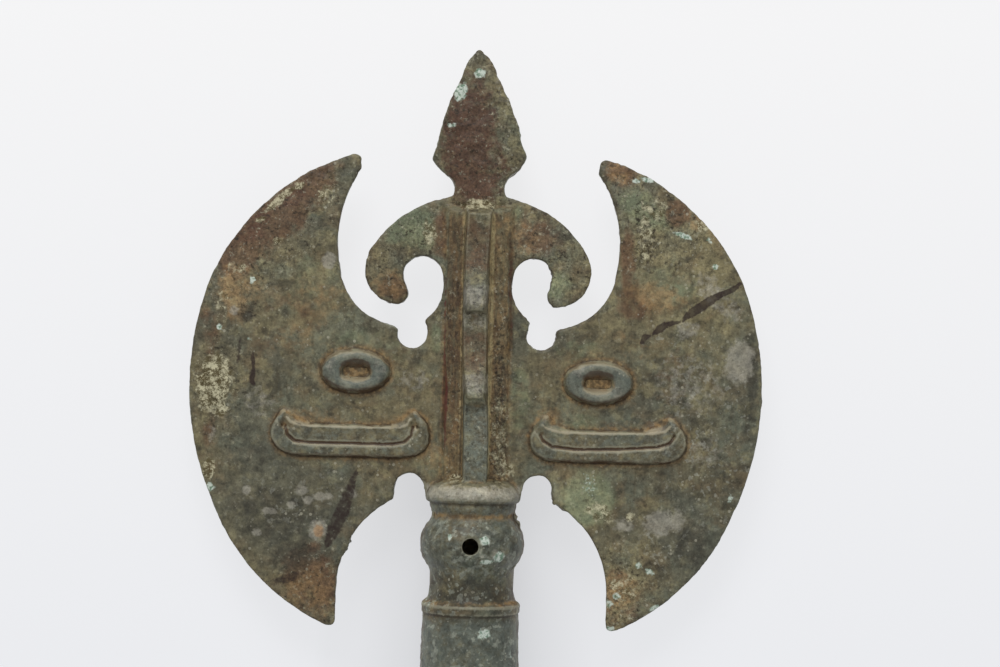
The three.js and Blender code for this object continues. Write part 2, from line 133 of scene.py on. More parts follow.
# Ovals, by what they mark: x, y, length, width and turn in degrees, then the strength where it
# isn't 1. The first four shape the casting, where pits are coloured too. The rest only colour it.
OVALS = {
    "pitted": (
        (7.6, -20, 5, 34, 0), (7.2, 3, 3.6, 24, 0, 0.7), (52.3, 46, 6.5, 20, 4),
        (58, 51, 14, 10, -30, 0.6), (-82.5, -5, 10, 19, -4, 0.8), (46, -72, 16, 12, 60, 0.5),
        (-72, 19, 9, 8, 0, 0.6)),
    "eaten": (
        (23, 32.7, 5, 7, 0), (15.6, 16, 3, 6, 0), (24.3, 12.5, 5, 4, 0), (26.2, -37.5, 5, 8, 0),
        (-40, -54, 5, 8, 0), (17, 36, 4, 3, 0, 0.6), (-28, 23, 8, 4, 0, 0.6),
        (30, 23, 6, 4, 0, 0.6), (-15.5, 16, 3, 5, 0, 0.5)),
    "nicked": (
        (68, 53.5, 5, 5, 0), (-66.5, 54.5, 4, 3, 0, 0.6), (-87.5, -6, 3, 2.5, 0, 0.6),
        (-83.5, -37, 3, 3, 0, 0.6), (60.5, 60.5, 4, 3, 0, 0.6)),
    "crusty": (
        (-82.5, -5, 10, 19, -4), (-62, 54, 20, 3, 40), (52, 53, 12, 14, 30),
        (38, -40, 12, 10, -40), (0, RIB_TOP + 2.6, 11, 3, 0)),
    "brown": (
        (-65, 51, 52, 20, 47), (-74, 37, 18, 12, 60), (44, 66, 10, 16, 20, 0.6),
        (62.5, 52.5, 8, 8, 0, 0.9), (47, 36, 5, 20, 0, 0.8), (50, 24, 14, 12, 0, 0.6),
        (-50, -67, 18, 22, 20, 0.8), (-49.6, -55, 5, 4, 0, 0.8), (46, -69, 18, 20, 30, 0.45),
        (-27, 27, 9, 8, 0, 0.9), (18, 44, 18, 12, -20, 0.7), (-12, 44, 5, 16, 0, 0.8),
        (-84, 12, 6, 24, 10, 0.4), (-83, -22, 5, 18, 0, 0.5), (50, -15, 26, 5, 0, 0.4),
        (62, 0, 14, 20, 0, 0.35), (-60, 16, 24, 20, 0, 0.3)),
    "maroon": (
        (-4, 74, 18, 38, -4, 0.85), (-1, 60, 15, 12, 0, 0.85), (4, 66, 12, 12, 0, 0.6),
        (-71, 46, 14, 10, 45, 0.5), (-58, 56, 16, 6, 35, 0.5)),
    "tan": (
        (-77, 23, 8, 16, 20, 0.8), (-78, 30, 6, 8, 0, 0.5), (69, 50, 7, 6, -45, 0.8),
        (56, 26, 18, 9, -10, 0.7), (-51, -68, 16, 18, 20, 0.55), (-48.4, -49.9, 3.6, 4.8, 0),
        (46, -67, 14, 12, 30, 0.6), (-57, 10, 16, 10, 10, 0.35), (-50, 22, 20, 14, 0, 0.3),
        (-50, -14, 20, 6, 0, 0.4), (47, 10, 30, 10, 0, 0.2), (13, 42, 10, 14, 0, 0.4),
        (-28, 28, 12, 9, 0, 0.6), (-74, 26, 14, 12, 20, 0.5), (43, 65.5, 7, 9, 20, 0.6),
        (-12, -26, 12, 8, 0, 0.5), (24, -12, 10, 5, 0, 0.4)),
    "ochre": (
        (62, 36, 40, 44, 0, 0.8), (44, -66, 24, 26, 0, 0.8), (34, -40, 20, 22, -40, 0.8),
        (68, 6, 30, 24, 0, 0.4), (-66, 24, 26, 30, 0, 0.5), (-40, 10, 30, 14, 0, 0.3),
        (30, 34, 16, 20, 0, 0.5), (-60, -16, 30, 16, 0, 0.3), (-18, 44, 14, 10, 0, 0.8)),
    "cool": (
        (-60, -44, 44, 36, 0, 0.9), (-68, -22, 22, 22, 0, 0.7), (68, -50, 24, 30, 30, 0.7),
        (84, -4, 14, 40, 0, 0.5), (-34, -4, 16, 12, 0, 0.4), (56, -12, 24, 10, 0, 0.4)),
    "spot": ((-48.4, -49.9, 3.0, 4.2, 0),),
    "grainy": (
        (-66, 48, 64, 34, 45), (54, 52, 40, 34, -40), (-24, 38, 34, 34, 0), (24, 38, 34, 34, 0),
        (0, 77, 30, 60, 0), (0, 10, 22, 84, 0, 0.8), (-50, -68, 24, 26, 0, 0.8),
        (46, -68, 26, 26, 0), (-80, -4, 18, 40, 0, 0.8), (0, -50, 32, 30, 0, 0.3)),
    "darker": (
        # The first oval is painted shade at the waist below the bead; the rest are darker tone.
        (0, WAIST, 28, 9, 0, 0.95), (-42, -44, 10, 26, -12, 0.3), (-52, -36, 28, 14, 0, 0.2),
        (-7.2, 26, 5, 40, 0, 0.35), (-1, 76, 24, 36, 0, 0.25), (-60, -20, 30, 30, 0, 0.1),
        (-58, -42, 34, 20, 0, 0.08), (0, -100, 34, 46, 0, 0.12), (-28, 27, 12, 10, 0, 0.3),
        (-1, 74, 24, 40, 0, 0.15)),
    "lighter": (
        # The first two ovals lighten the roll's top, partly its own paler colour and partly a
        # painted highlight.
        (0, ROLL - 0.4, 27, 6.4, 0), (0, ROLL - 0.4, 30, 8, 0, 0.6), (33, -38, 18, 16, -40, 0.9),
        (46, -70, 14, 18, 0), (60, 42, 34, 34, 0, 0.25), (48, 62, 18, 14, -30, 0.4),
        # The oval at 0, 17.5 is painted light on the fin's shaded step.
        (0, -20, 5, 26, 0, 0.45), (0, 17.5, 7, 7, 0, 0.8), (24.5, 29, 10, 9, 0, 0.55),
        (14, 45, 22, 14, -20, 0.4), (-76, 28, 20, 22, 20, 0.25), (60, -54, 36, 30, 30, 0.22),
        (-74, -26, 26, 30, 0, 0.12), (7.5, -14, 7, 44, 0, 0.4)),
    "freckled": (
        (74, -18, 28, 54, 0), (62, 8, 20, 20, 0, 0.7), (-54, -40, 40, 24, 0, 0.6),
        (60, -52, 20, 16, 0, 0.6)),
    "green": (
        (-22, 47, 16, 12, 40), (-17, 44, 8, 8, 0), (24.5, 29, 10, 9, 0, 0.7),
        (52, 54, 18, 10, -35, 0.8), (36, -38, 16, 18, -40, 0.9), (12, 48, 4, 12, 0, 0.7),
        (60, 30, 18, 14, 0, 0.5), (33, 8, 20, 8, 0, 0.35), (-25, 8, 20, 12, 0, 0.35),
        (14, -6, 6, 24, 0, 0.5), (-13, 12, 4, 14, 0, 0.5), (-50, 30, 16, 18, 0, 0.35),
        (32, -14, 16, 7, 0, 0.5), (4, -58, 14, 10, 0, 0.4), (-13, -28, 8, 6, 0, 0.4),
        (-40, 12, 16, 14, 0, 0.35)),
    "dark": (
        (-73.5, 18.5, 7, 5, 20, 0.6), (-72.3, 16.8, 3.4, 3.2, 0), (87, 2, 4, 24, 2, 0.8),
        (86, -10, 6, 18, 0, 0.5), (70, -52, 18, 16, 30, 0.6), (58, -60, 12, 10, 0, 0.5),
        (-56, -58, 14, 14, 0, 0.7), (-62, -46, 30, 20, 0, 0.6), (-70, -28, 16, 16, 0, 0.4),
        (65, 0, 20, 14, 0, 0.4), (78, -30, 10, 16, 0, 0.4), (0, 44, 7, 9, 0, 0.4),
        (66, 40, 8, 10, 0, 0.4), (52.3, 46, 5, 18, 4, 0.5), (-58, 0, 12, 20, 0, 0.3),
        # This oval is painted shade at the waist below the bead.
        (0, -66, 18, 6, 0, 0.8)),
    "bloom_and_painted_light": (
        (83, 6, 9, 13, -5), (60, -45, 14, 8, 10, 0.8), (48, -46, 8, 5, 0, 0.6),
        (-54, -37.5, 4.4, 3, 0, 0.9), (-47.4, -39.1, 6.6, 2.4, 0), (-64, -44, 5.4, 2, -10, 0.9),
        (-71.4, -37.4, 3, 3.2, 0, 0.8), (-57, -41.8, 3, 2.2, 0, 0.9), (-38, -38, 3.4, 3.4, 0, 0.8),
        (9, -56, 8, 7, 0, 0.5), (-52, -40.4, 3, 2.6, 0), (-68, -51, 3, 2.4, 0, 0.8),
        (66, 16, 8, 6, 30, 0.6), (68, -2, 24, 20, 0, 0.4), (74, 28, 8, 16, 40, 0.5),
        (-68, -10, 12, 10, 0, 0.4), (-20, -2, 12, 8, 0, 0.4), (-83, -20, 4, 6, 0, 0.5),
        (72, -22, 14, 12, 0, 0.4), (-2, 25, 6, 8, 0, 0.5), (-48.6, -49.6, 6.4, 7, 0, 0.75),
        (-47, 35.1, 4.4, 5.4, 0, 0.9), (6.2, 93.5, 4, 4.5, 0, 0.8), (-30.5, 1, 5, 7, 0, 0.45),
        (-45, 2, 5, 5, 0, 0.4), (33, 2, 6, 5, 0, 0.45), (44, -4, 6, 4, 0, 0.4),
        (80, 22, 8, 8, 0, 0.4), (-76.5, 18.9, 4, 3.6, 0, 0.7)),
    "lime": (
        (-82.5, -4, 11, 18, -4), (-80.5, -12, 6, 6, 0, 0.8), (-83.6, -31, 4, 8, -12),
        (52.5, 45, 5, 18, 4, 0.55), (55, 53, 10, 8, 0, 0.45), (-62.8, 54.3, 14, 2.4, 42, 0.9),
        (-56.9, 58.5, 4, 2, 30, 0.9), (-68.6, 47.8, 4, 1.6, 20, 0.8), (-48, 56, 8, 5, 30, 0.5),
        (-63.4, 41, 3, 3, 0, 0.6), (-76, 32, 8, 5, 0, 0.5), (-80, 20, 5, 12, 0, 0.5),
        (40, -42, 10, 6, -35, 0.6), (-15.5, 45, 5, 8, 0, 0.7), (49.5, -43.5, 3.4, 3.4, 0, 0.7),
        (48, -66, 12, 10, 0, 0.5), (0, RIB_TOP + 2.8, 12, 3.4, 0, 0.9), (10, -30, 6, 6, 0, 0.5),
        (-6, -32, 6, 3, 0, 0.6), (70, 49, 5, 4, 0, 0.7), (7.5, -20, 6, 26, 0, 0.45)),
    "verdigris": (
        (-0.9, 95.1, 3.4, 3.2, 0), (-6.8, 89.3, 4, 5.6, -25), (-9.4, 78.5, 2.6, 1.6, 0, 0.8),
        (64.3, 45.5, 6, 1.6, -20), (52.9, 62.9, 4, 1.8, -10, 0.9), (49, 62.4, 3, 1.6, 0, 0.7),
        (74.6, 35.9, 2, 1.6, 0), (-70.8, 28.5, 1.8, 2, 0), (-83, -37.1, 2.4, 3, 0),
        (-81.1, 13.5, 1.6, 1.8, 0), (36.5, -33.5, 4.5, 8, 15, 0.42), (4, -51, 3, 3, 0, 0.9),
        (8.6, -56, 3.6, 3, 40, 0.9), (4.6, -57.6, 4, 1.6, 0, 0.9), (-7, -50, 1.8, 2, 0, 0.8),
        (4.5, -80, 4, 3, 0, 0.9), (52.5, -58.6, 2.4, 2, 0, 0.9), (56, -60.6, 3, 1.8, -30, 0.8),
        (43.5, -70.8, 2, 3, 0, 0.8), (44, -79, 3, 2, 20, 0.9), (58, -72, 3.4, 1.8, 30, 0.8),
        (46, -68.5, 3, 2.4, 0, 0.7), (-0.8, 8, 2, 1.6, 0, 0.5), (72.6, 44, 2.6, 1.4, -50, 0.6),
        (81, -37, 1.6, 3, -20, 0.7), (-71.5, 10, 1.6, 1.4, 0, 0.5)),
}

# Scraps of flash left on the edges.
FLASH = ((-39.5, -54, 2.6, 4, 0), (40.5, 48.5, 1.6, 1.6, 0), (23.5, 21.5, 2, 2, 0),
         (28.5, -41, 3, 3, 0))


# ------------------------------------------------------------------ selecting and modifiers

def only(piece):
    """Selects one object and makes it the active one."""
    bpy.ops.object.select_all(action="DESELECT")
    piece.select_set(True)
    bpy.context.view_layer.objects.active = piece


def applied(piece, kind, **values):
    """Adds a modifier with these values and applies it."""
    only(piece)
    modifier = piece.modifiers.new(kind.lower(), kind)
    for name, value in values.items():
        setattr(modifier, name, value)
    bpy.ops.object.modifier_apply(modifier=modifier.name)


# ------------------------------------------------------------------ points of a mesh as arrays

def points_of(piece):
    """The piece's points in millimetres about the blades' crossing."""
    flat = np.empty(3 * len(piece.data.vertices))
    piece.data.vertices.foreach_get("co", flat)
    return (flat.reshape(-1, 3) - ORIGIN) / MM


def normals_of(piece):
    """Which way the skin faces at each of the piece's points."""
    flat = np.empty(3 * len(piece.data.vertices))
    piece.data.vertices.foreach_get("normal", flat)
    return flat.reshape(-1, 3)


def move_points(piece, points):
    """Puts the piece's points where the array says."""
    piece.data.vertices.foreach_set("co", (points * MM + ORIGIN).ravel())
    piece.data.update()


def edges_of(piece):
    """The pair of points that each edge joins."""
    flat = np.empty(2 * len(piece.data.edges), dtype=np.int64)
    piece.data.edges.foreach_get("vertices", flat)
    return flat.reshape(-1, 2)


def averaged(values, edges, rounds):
    """Values at the points, each replaced by its neighbours' mean, several times over."""
    count = len(values)
    a, b = edges.T
    valence = np.maximum(np.bincount(a, minlength=count) + np.bincount(b, minlength=count), 1)
    columns = values.reshape(count, -1).copy()
    for _ in range(rounds):
        for column in columns.T:
            total = np.bincount(a, column[b], count) + np.bincount(b, column[a], count)
            column[:] = total / valence
    return columns.reshape(values.shape)


# ------------------------------------------------------------------ noise and shaped masks

def smooth_noise(points, size, seed):
    """Smooth noise from -1 to 1 whose lumps are about this size, in millimetres."""
    table = np.random.default_rng(SEED * 1000 + seed).uniform(-1, 1, 4096)
    scaled = points / size + 31.7
    cell = np.floor(scaled).astype(np.int64)
    part = scaled - cell
    part = part * part * (3 - 2 * part)
    total = np.zeros(len(points))
    for corner in np.ndindex(2, 2, 2):
        x, y, z = (cell + corner).T
        value = table[(x * 73 + y * 179 + z * 283 + (x * y) * 7 + (y * z) * 13) % 4096]
        share = np.prod(np.where(corner, part, 1 - part), axis=1)
        total += value * share
    return total


def rough_noise(points, size, seed):
    """Three sizes of smooth noise, each half the last in size and in strength."""
    layers = [smooth_noise(points, size / 2 ** i, seed + i) / 2 ** i for i in range(3)]
    return sum(layers) / 1.5


def ramp(values, start, end):
    """A smooth step from 0 at start to 1 at end."""
    t = np.clip((values - start) / (end - start), 0, 1)
    return t * t * (3 - 2 * t)


def between(values, low, high, soft=0.6):
    """1 from low to high, fading out beyond them."""
    return ramp(values, low - soft, low + soft) * (1 - ramp(values, high - soft, high + soft))


def line(values, middle, width):
    """A soft ridge of this width about the middle."""
    return np.exp(-((values - middle) / (width / 2)) ** 2)


def patch(points, x, y, length, width, turn=0):
    """An oval patch: 1 inside, fading out at its rim; turn is anticlockwise in degrees."""
    dx, dy = points[:, 0] - x, points[:, 1] - y
    angle = math.radians(turn)
    lengthways = (dx * math.cos(angle) + dy * math.sin(angle)) / (length / 2)
    sideways = (dy * math.cos(angle) - dx * math.sin(angle)) / (width / 2)
    return 1 - ramp(np.hypot(lengthways, sideways), 0.5, 1.5)


def patches(points, ovals):
    """The strongest of several oval patches; a strength may follow each oval's five sizes."""
    total = np.zeros(len(points))
    for x, y, length, width, turn, *strength in ovals:
        total = np.maximum(total, patch(points, x, y, length, width, turn) * (strength or [1])[0])
    return total


def along(points, centre, path, width):
    """A stroke of one width along a path drawn from a centre."""
    return stroke(points, [(centre[0] + x, centre[1] + y, width) for x, y in path])


def at_ends(points, centre, path, width):
    """The same along the first three and the last three stops only."""
    return np.maximum(along(points, centre, path[:3], width),
                      along(points, centre, path[-3:], width))


def stroke(points, stops):
    """A brush stroke through stops of x, y and width, as a mask with soft edges."""
    total = np.zeros(len(points))
    for (x0, y0, w0), (x1, y1, w1) in zip(stops, stops[1:]):
        run = np.array([x1 - x0, y1 - y0])
        spot = points[:, :2] - (x0, y0)
        t = np.clip(spot @ run / (run @ run), 0, 1)
        distance = np.hypot(*(spot - t[:, None] * run).T)
        half = (w0 + (w1 - w0) * t) / 2
        total = np.maximum(total, 1 - ramp(distance, half - 0.4, half + 0.4))
    return total


def front_of(points):
    """1 on the front face, 0 on the back."""
    return ramp(points[:, 2], -0.6, 0.6)


# ------------------------------------------------------------------ the casting's shape

def refined_casting():
    """The cast head as one fine, evenly faced skin over the solid's own form."""
    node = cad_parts["axe_head"]
    casting = node.copy()
    casting.data = node.data.copy()
    casting.name = "cast_head"
    casting.data.materials.clear()
    bpy.context.collection.objects.link(casting)
    only(casting)
    bpy.ops.object.mode_set(mode="EDIT")
    bpy.ops.mesh.select_all(action="SELECT")
    bpy.ops.mesh.remove_doubles(threshold=0.002 * MM)
    bpy.ops.object.mode_set(mode="OBJECT")
    applied(casting, "REMESH", mode="VOXEL", voxel_size=VOXEL)
    applied(casting, "SMOOTH", factor=0.5, iterations=3)
    return casting


def round_collar(points):
    """The plate's lower corners follow the collar's roll in to the groove."""
    x, y, z = points.T
    levels, sides = CORNERS
    corner = (np.abs(x) < 17) & (np.abs(z) < 4) & (y < levels[-1]) & (y > levels[0])
    reach = np.interp(y[corner], levels, sides)
    x[corner] = np.sign(x[corner]) * np.minimum(np.abs(x[corner]), reach)


def bend_fin(points):
    """The fin wanders a little from side to side along the midrib."""
    x, y, z = points.T
    fin = ramp(z, 4.6, 7.5) * (np.abs(x) < 6) * ramp(y, COLLAR - 1, COLLAR + 2)
    x += np.interp(y, *FIN_WANDER) * fin


def pitted(points):
    """Where corrosion has eaten the face into pits."""
    spear = ramp(points[:, 1], SPEAR_FOOT, SPEAR_FOOT + 7)
    return front_of(points) * np.maximum(patches(points, OVALS["pitted"]), 0.2 * spear)


def relief_of(points, low=2.8, high=3.4):
    """1 on the eyes and mouths, which rise above the blades' faces between these heights."""
    x, y, z = points.T
    beside_rib = (np.abs(x) > RELIEF_SIDE) & (np.abs(y) < RELIEF_END)
    return beside_rib * ramp(z, low, high)


def round_relief(casting):
    """Rounds the rims of the eyes and mouths and dishes the eyes, as wear has done."""
    points = points_of(casting)
    edges = edges_of(casting)
    points += (averaged(points, edges, 7) - points) * relief_of(points)[:, None]
    for eye_x, eye_y in EYES:
        ring = np.hypot((points[:, 0] - eye_x) / EYE_REACH[0],
                        (points[:, 1] - eye_y) / EYE_REACH[1])
        raised = (ring < 1.1) * relief_of(points)
        points[:, 2] += raised * (0.3 * line(ring, 0.75, 0.4) - 0.65 * (1 - ramp(ring, 0.3, 0.62)))
    for centre, groove, lip in zip(MOUTHS, GROOVES, LIPS):
        filled = np.maximum(points[:, 2], 3.7 * at_ends(points, centre, lip, 3.2))
        points[:, 2] = np.where(points[:, 2] > 1.2, filled, points[:, 2])
        corners = at_ends(points, centre, lip, 6) * (points[:, 2] > 1.2)
        points += (averaged(points, edges, 14) - points) * corners[:, None]
        points[:, 2] += relief_of(points) * (0.25 * along(points, centre, lip, 0.9)
                                             - 0.65 * along(points, centre, groove, 0.8))
    move_points(casting, points)


def worn_edges(points, edge):
    """The thin edges are chipped, eaten and nicked, and the spear is rough all over."""
    x, y, z = points.T
    thin_part = (np.abs(z) < THIN) & (np.abs(x) > 9) | (y > RIB_TOP + 3)
    chipped = 0.4 + 0.6 * ramp(smooth_noise(points, 14, 33), 0, 0.4) + 0.6 * (np.abs(x) < 34)
    lift = edge * thin_part * chipped * (
        0.2 * rough_noise(points, 3.2, 31) + 0.12 * smooth_noise(points, 1.3, 35))
    lift += 0.75 * edge * patches(points, OVALS["eaten"]) * rough_noise(points, 1.8, 91)
    lift += ramp(y, SPEAR_FOOT, SPEAR_FOOT + 6) * (
        0.2 * rough_noise(points, 2.6, 21) + 0.15 * smooth_noise(points, 1.1, 25))
    return lift - 0.9 * edge * patches(points, OVALS["nicked"])


def creases(points):
    """Creases where the midrib meets the blades, and soil banked up beside the fin."""
    x, y, z = points.T
    front_rib = front_of(points) * between(y, COLLAR + 1, RIB_TOP - 4, 3)
    broken = 0.3 + 0.9 * ramp(smooth_noise(points, 5, 81), -0.4, 0.5)
    left = line(x, -9.9 + 0.25 * np.sin(y / 9), 1.1)
    right = line(x, 10.3 + 0.4 * np.sin(y / 11 + 1), 1.2) * ramp(y, 0, 8)
    banked = (z < 6.5) * (line(x, -4.9, 0.9) + line(x, 4.4, 0.9))
    return front_rib * (0.28 * banked - 0.35 * broken * (left + right))


def turned_lines(points):
    """A crisp line under the collar's roll, and a rim with a fine groove below it on the tube."""
    x, y, z = points.T
    socket = (y < COLLAR) * (np.abs(x) < 17.5) * (np.hypot(x, z) > SOCKET_SKIN)
    return socket * (0.25 * line(y, BAND, 1.0) - 0.25 * line(y, BAND_GROOVE, 0.9)
                     - 0.4 * line(y, UNDER_ROLL, 1.2))


def worn_peg_hole(points, normals):
    """The peg hole's rim is worn away, most at its upper left."""
    x, y, z = points.T
    from_peg = np.hypot(x - PEG[0], y - PEG[1])
    near = (z > 6) * (1 - ramp(from_peg, PEG_RADIUS, PEG_RADIUS + 1.4))
    depth = 0.3 + 0.4 * patch(points, PEG[0] - 1.4, PEG[1] + 1.8, 4, 4)
    uneven = 1 + 0.5 * smooth_noise(points, 2, 55)
    return -near * ramp(normals[:, 2], 0.4, 0.7) * depth * uneven


def pits_and_crusts(points, upright):
    """Pits eaten into the face, and crusts that stand on it."""
    pit = ramp(smooth_noise(points, 0.9, 41), 0.15, 0.55)
    crust = ramp(smooth_noise(points, 1.3, 45), 0.1, 0.5)
    return (0.22 * front_of(points) * patches(points, OVALS["crusty"]) * crust
            - 0.32 * pitted(points) * pit * ramp(upright, 0.5, 0.8))


def flash(points, normals, edge):
    """Scraps of flash left beside the collar and on the edges."""
    jag = 0.5 + 0.5 * smooth_noise(points, 1.4, 51)
    beside_collar = ramp(normals[:, 0], 0.3, 0.8) * patch(points, 14.6, -44.8, 5, 4.6)
    return jag * (1.5 * beside_collar * (np.abs(points[:, 2]) < 2)
                  + 0.9 * edge * patches(points, FLASH))


def weather(casting):
    """Casting unevenness, corrosion, grooves, nicks and pits, as moved points."""
    points = points_of(casting)
    normals = normals_of(casting)
    bend_fin(points)
    round_collar(points)
    upright = np.abs(normals[:, 2])
    edge = 1 - ramp(upright, 0.3, 0.8)
    lift = 0.13 * rough_noise(points, 12, 1) + 0.07 * rough_noise(points, 3, 11)
    lift += worn_edges(points, edge) + creases(points) + turned_lines(points)
    lift += worn_peg_hole(points, normals) + pits_and_crusts(points, upright)
    lift += flash(points, normals, edge)
    move_points(casting, points + normals * lift[:, None])


# ------------------------------------------------------------------ where each finish lies

class Skin:
    """The casting's points, with the regions that its finishes are cut to."""

    def __init__(self, casting):
        self.casting = casting
        self.points = points_of(casting)
        self.normals = normals_of(casting)
        self.edges = edges_of(casting)
        self.x, self.y, self.z = x, y, z = self.points.T
        self.front = front_of(self.points)
        self.back = 1 - self.front
        self.fin = self.front * (np.abs(x) < FIN_SIDE) * (z > 7) * (y > COLLAR)
        self.socket = np.abs(x) < SOCKET_SIDE
        beside_fin = between(y, COLLAR, RIB_TOP, 2) * (z < 7)
        self.left_strip = self.front * between(x, -9.6, -4.6, 0.5) * beside_fin
        self.right_strip = self.front * between(x, 4.4, 10.6, 0.6) * beside_fin

    def stain(self, name):
        """The front face's ovals of this name."""
        return self.front * patches(self.points, OVALS[name])

    def stroke(self, stops):
        """A stroke of these stops on the front face."""
        return self.front * stroke(self.points, stops)

    def paint(self, name, *masks):
        """Keeps the strongest of these masks on the points, for the material to read."""
        values = np.clip(np.maximum.reduce(masks), 0, 1)
        layer = self.casting.data.attributes.new(name, "FLOAT", "POINT")
        layer.data.foreach_set("value", values.astype(np.float32))


def paint_hollows(skin):
    """Hollows gather earth and ridges are rubbed bright, at a small and at a broad scale; small
    hollows also get painted shade.
    """
    near = averaged(skin.points, skin.edges, 4)
    broad = averaged(near, skin.edges, 40)
    small_hollow = np.einsum("ij,ij->i", near - skin.points, skin.normals)
    broad_hollow = np.einsum("ij,ij->i", broad - skin.points, skin.normals)
    skin.paint("hollow", averaged(ramp(broad_hollow, 0.03, 0.45), skin.edges, 2))
    # Painted shade in small hollows, weaker on the fin.
    skin.paint("painted_crease_shade", ramp(small_hollow, 0.02, 0.13) * (1 - 0.6 * skin.fin))
    standing = np.maximum(relief_of(skin.points),
                          (skin.z > 6) | (skin.socket & (skin.y < COLLAR)))
    ridge = ramp(-small_hollow, 0.025, 0.13)
    skin.paint("rubbed", ridge * (0.15 + 0.85 * standing) * (1 - 0.5 * skin.fin))


def paint_stains(skin):
    """Broad stains: the front's are placed one by one, and the back has large plain ones. The dark
    one also holds painted shade at the waist below the bead.
    """
    y, left, right = skin.y, skin.left_strip, skin.right_strip
    brown_back = skin.back * ramp(rough_noise(skin.points, 26, 61), 0.05, 0.5)
    mixed_back = skin.back * ramp(rough_noise(skin.points, 20, 65), 0.1, 0.5)
    skin.paint("brown", skin.stain("brown"), 0.7 * brown_back, 0.75 * left * ramp(y, -34, -10),
               0.6 * skin.fin * (between(y, 2, 14, 2) + between(y, 32, 48, 3)),
               right * (0.55 - 0.1 * ramp(y, 4, 14)))
    spear_back = skin.back * ramp(y, SPEAR_FOOT + 5, SPEAR_FOOT + 11)
    skin.paint("maroon", skin.stain("maroon"), 0.5 * spear_back)
    skin.paint("tan", skin.stain("tan"), 0.5 * mixed_back, 0.5 * right * ramp(y, -8, 8),
               0.5 * left * (1 - ramp(y, -14, -2)))
    # Dark stains, and painted shade along the waist below the bead.
    skin.paint("dark", skin.stain("dark"), 0.4 * mixed_back,
               0.95 * line(y, WAIST, 9) * (np.abs(skin.x) < 13) * skin.front,
               0.3 * right * (1 - ramp(y, 4, 14)))
    skin.paint("strip", left, right)
    for name in ("ochre", "cool", "spot", "freckled", "green", "lime"):
        skin.paint(name, skin.stain(name))


def paint_lines(skin):
    """Dark strokes, creases, and painted shade along the turned lines of the socket and in the
    right crease.
    """
    x, y, z = skin.x, skin.y, skin.z
    skin.paint("streak", skin.stroke(RIGHT_STREAK), 0.64 * skin.stroke(LOW_STREAK),
               0.8 * skin.stroke(SHORT_STREAK), 0.6 * skin.stroke(FAINT_STREAK),
               0.56 * skin.front * patch(skin.points, -58.2, -65.3, 13, 3.6, 18))
    crease = skin.stroke(RIGHT_CREASE)
    skin.paint("crease", skin.stroke(LEFT_CREASE), 0.5 * crease)
    # Painted shade along the groove under the roll and the groove below the band, and in the right
    # crease.
    turned = np.maximum(line(y, UNDER_ROLL, 1.0), line(y, BAND_GROOVE - 0.2, 0.9))
    outside = (np.abs(x) < 15.5) * (np.hypot(x, z) > SOCKET_SKIN)
    skin.paint("painted_groove_shade", 0.85 * turned * outside, 0.7 * crease)
    fin_foot = (0.7 * line(x, -4.5, 1.3) * ramp(y, -30, -10)
                + line(x, 4.4, 1.6) * ramp(y, -36, -30))
    skin.paint("foot", fin_foot * between(z, 3.2, 7.5) * between(y, COLLAR, RIB_TOP, 2))


def paint_skin(skin):
    """How rough, how light and how pale the skin is, with painted light and shade among the tone
    and the pale patina.
    """
    x, y, z = skin.x, skin.y, skin.z
    skin.paint("grainy", patches(skin.points, OVALS["grainy"]), skin.back)
    # Random tone, except that the roll's top gets a painted highlight, the fin's shaded step
    # painted light and the waist painted shade.
    skin.paint("tone", 0.5 + 0.5 * (skin.stain("lighter") - skin.stain("darker")))
    skin.paint("blotchy", skin.socket * ramp(-y, 42, 48))
    plate = (np.abs(z) < THIN) * (np.hypot(x, 0.4 * y) > 11)
    upright = np.abs(skin.normals[:, 2])
    skin.paint("edge", (1 - ramp(upright, 0.4, 0.9)) * plate)
    # Pale patina in the ovals; painted highlights on the fin's two slopes that face the spear tip,
    # painted light on the shaded step between them, and a paler roll top, partly its own colour
    # and partly a painted highlight.
    skin.paint("bloom_and_painted_light", skin.stain("bloom_and_painted_light"),
               0.6 * skin.fin * (between(y, 21.5, 29, 2) + between(y, -5.5, 0.8, 1)),
               0.45 * skin.fin * between(y, 14.5, 20, 1),
               0.95 * line(y, ROLL, 5) * (np.abs(x) < 15) * (z > 2))
    outer_edge = (1 - ramp(upright, 0.4, 0.85)) * ramp(np.hypot(x, y), 64, 72)
    skin.paint("verdigris", skin.stain("verdigris"),
               0.45 * outer_edge * ramp(smooth_noise(skin.points, 9, 71), 0, 0.5))
    relief = relief_of(skin.points, 3.2, 3.9) * ramp(skin.normals[:, 2], 0.3, 0.8)
    skin.paint("steel", skin.front * relief * (0.9 - 0.55 * ramp(-y, 12, 16)),
               skin.fin * (0.15 * between(y, 43, 49, 2) + 0.6 * between(y, -33, -9, 1.5)),
               0.5 * skin.socket * ramp(-y, 34, 38) * (1 - 0.85 * ramp(-y, 59, 66)),
               0.7 * skin.socket * ramp(-y, 74, 78))


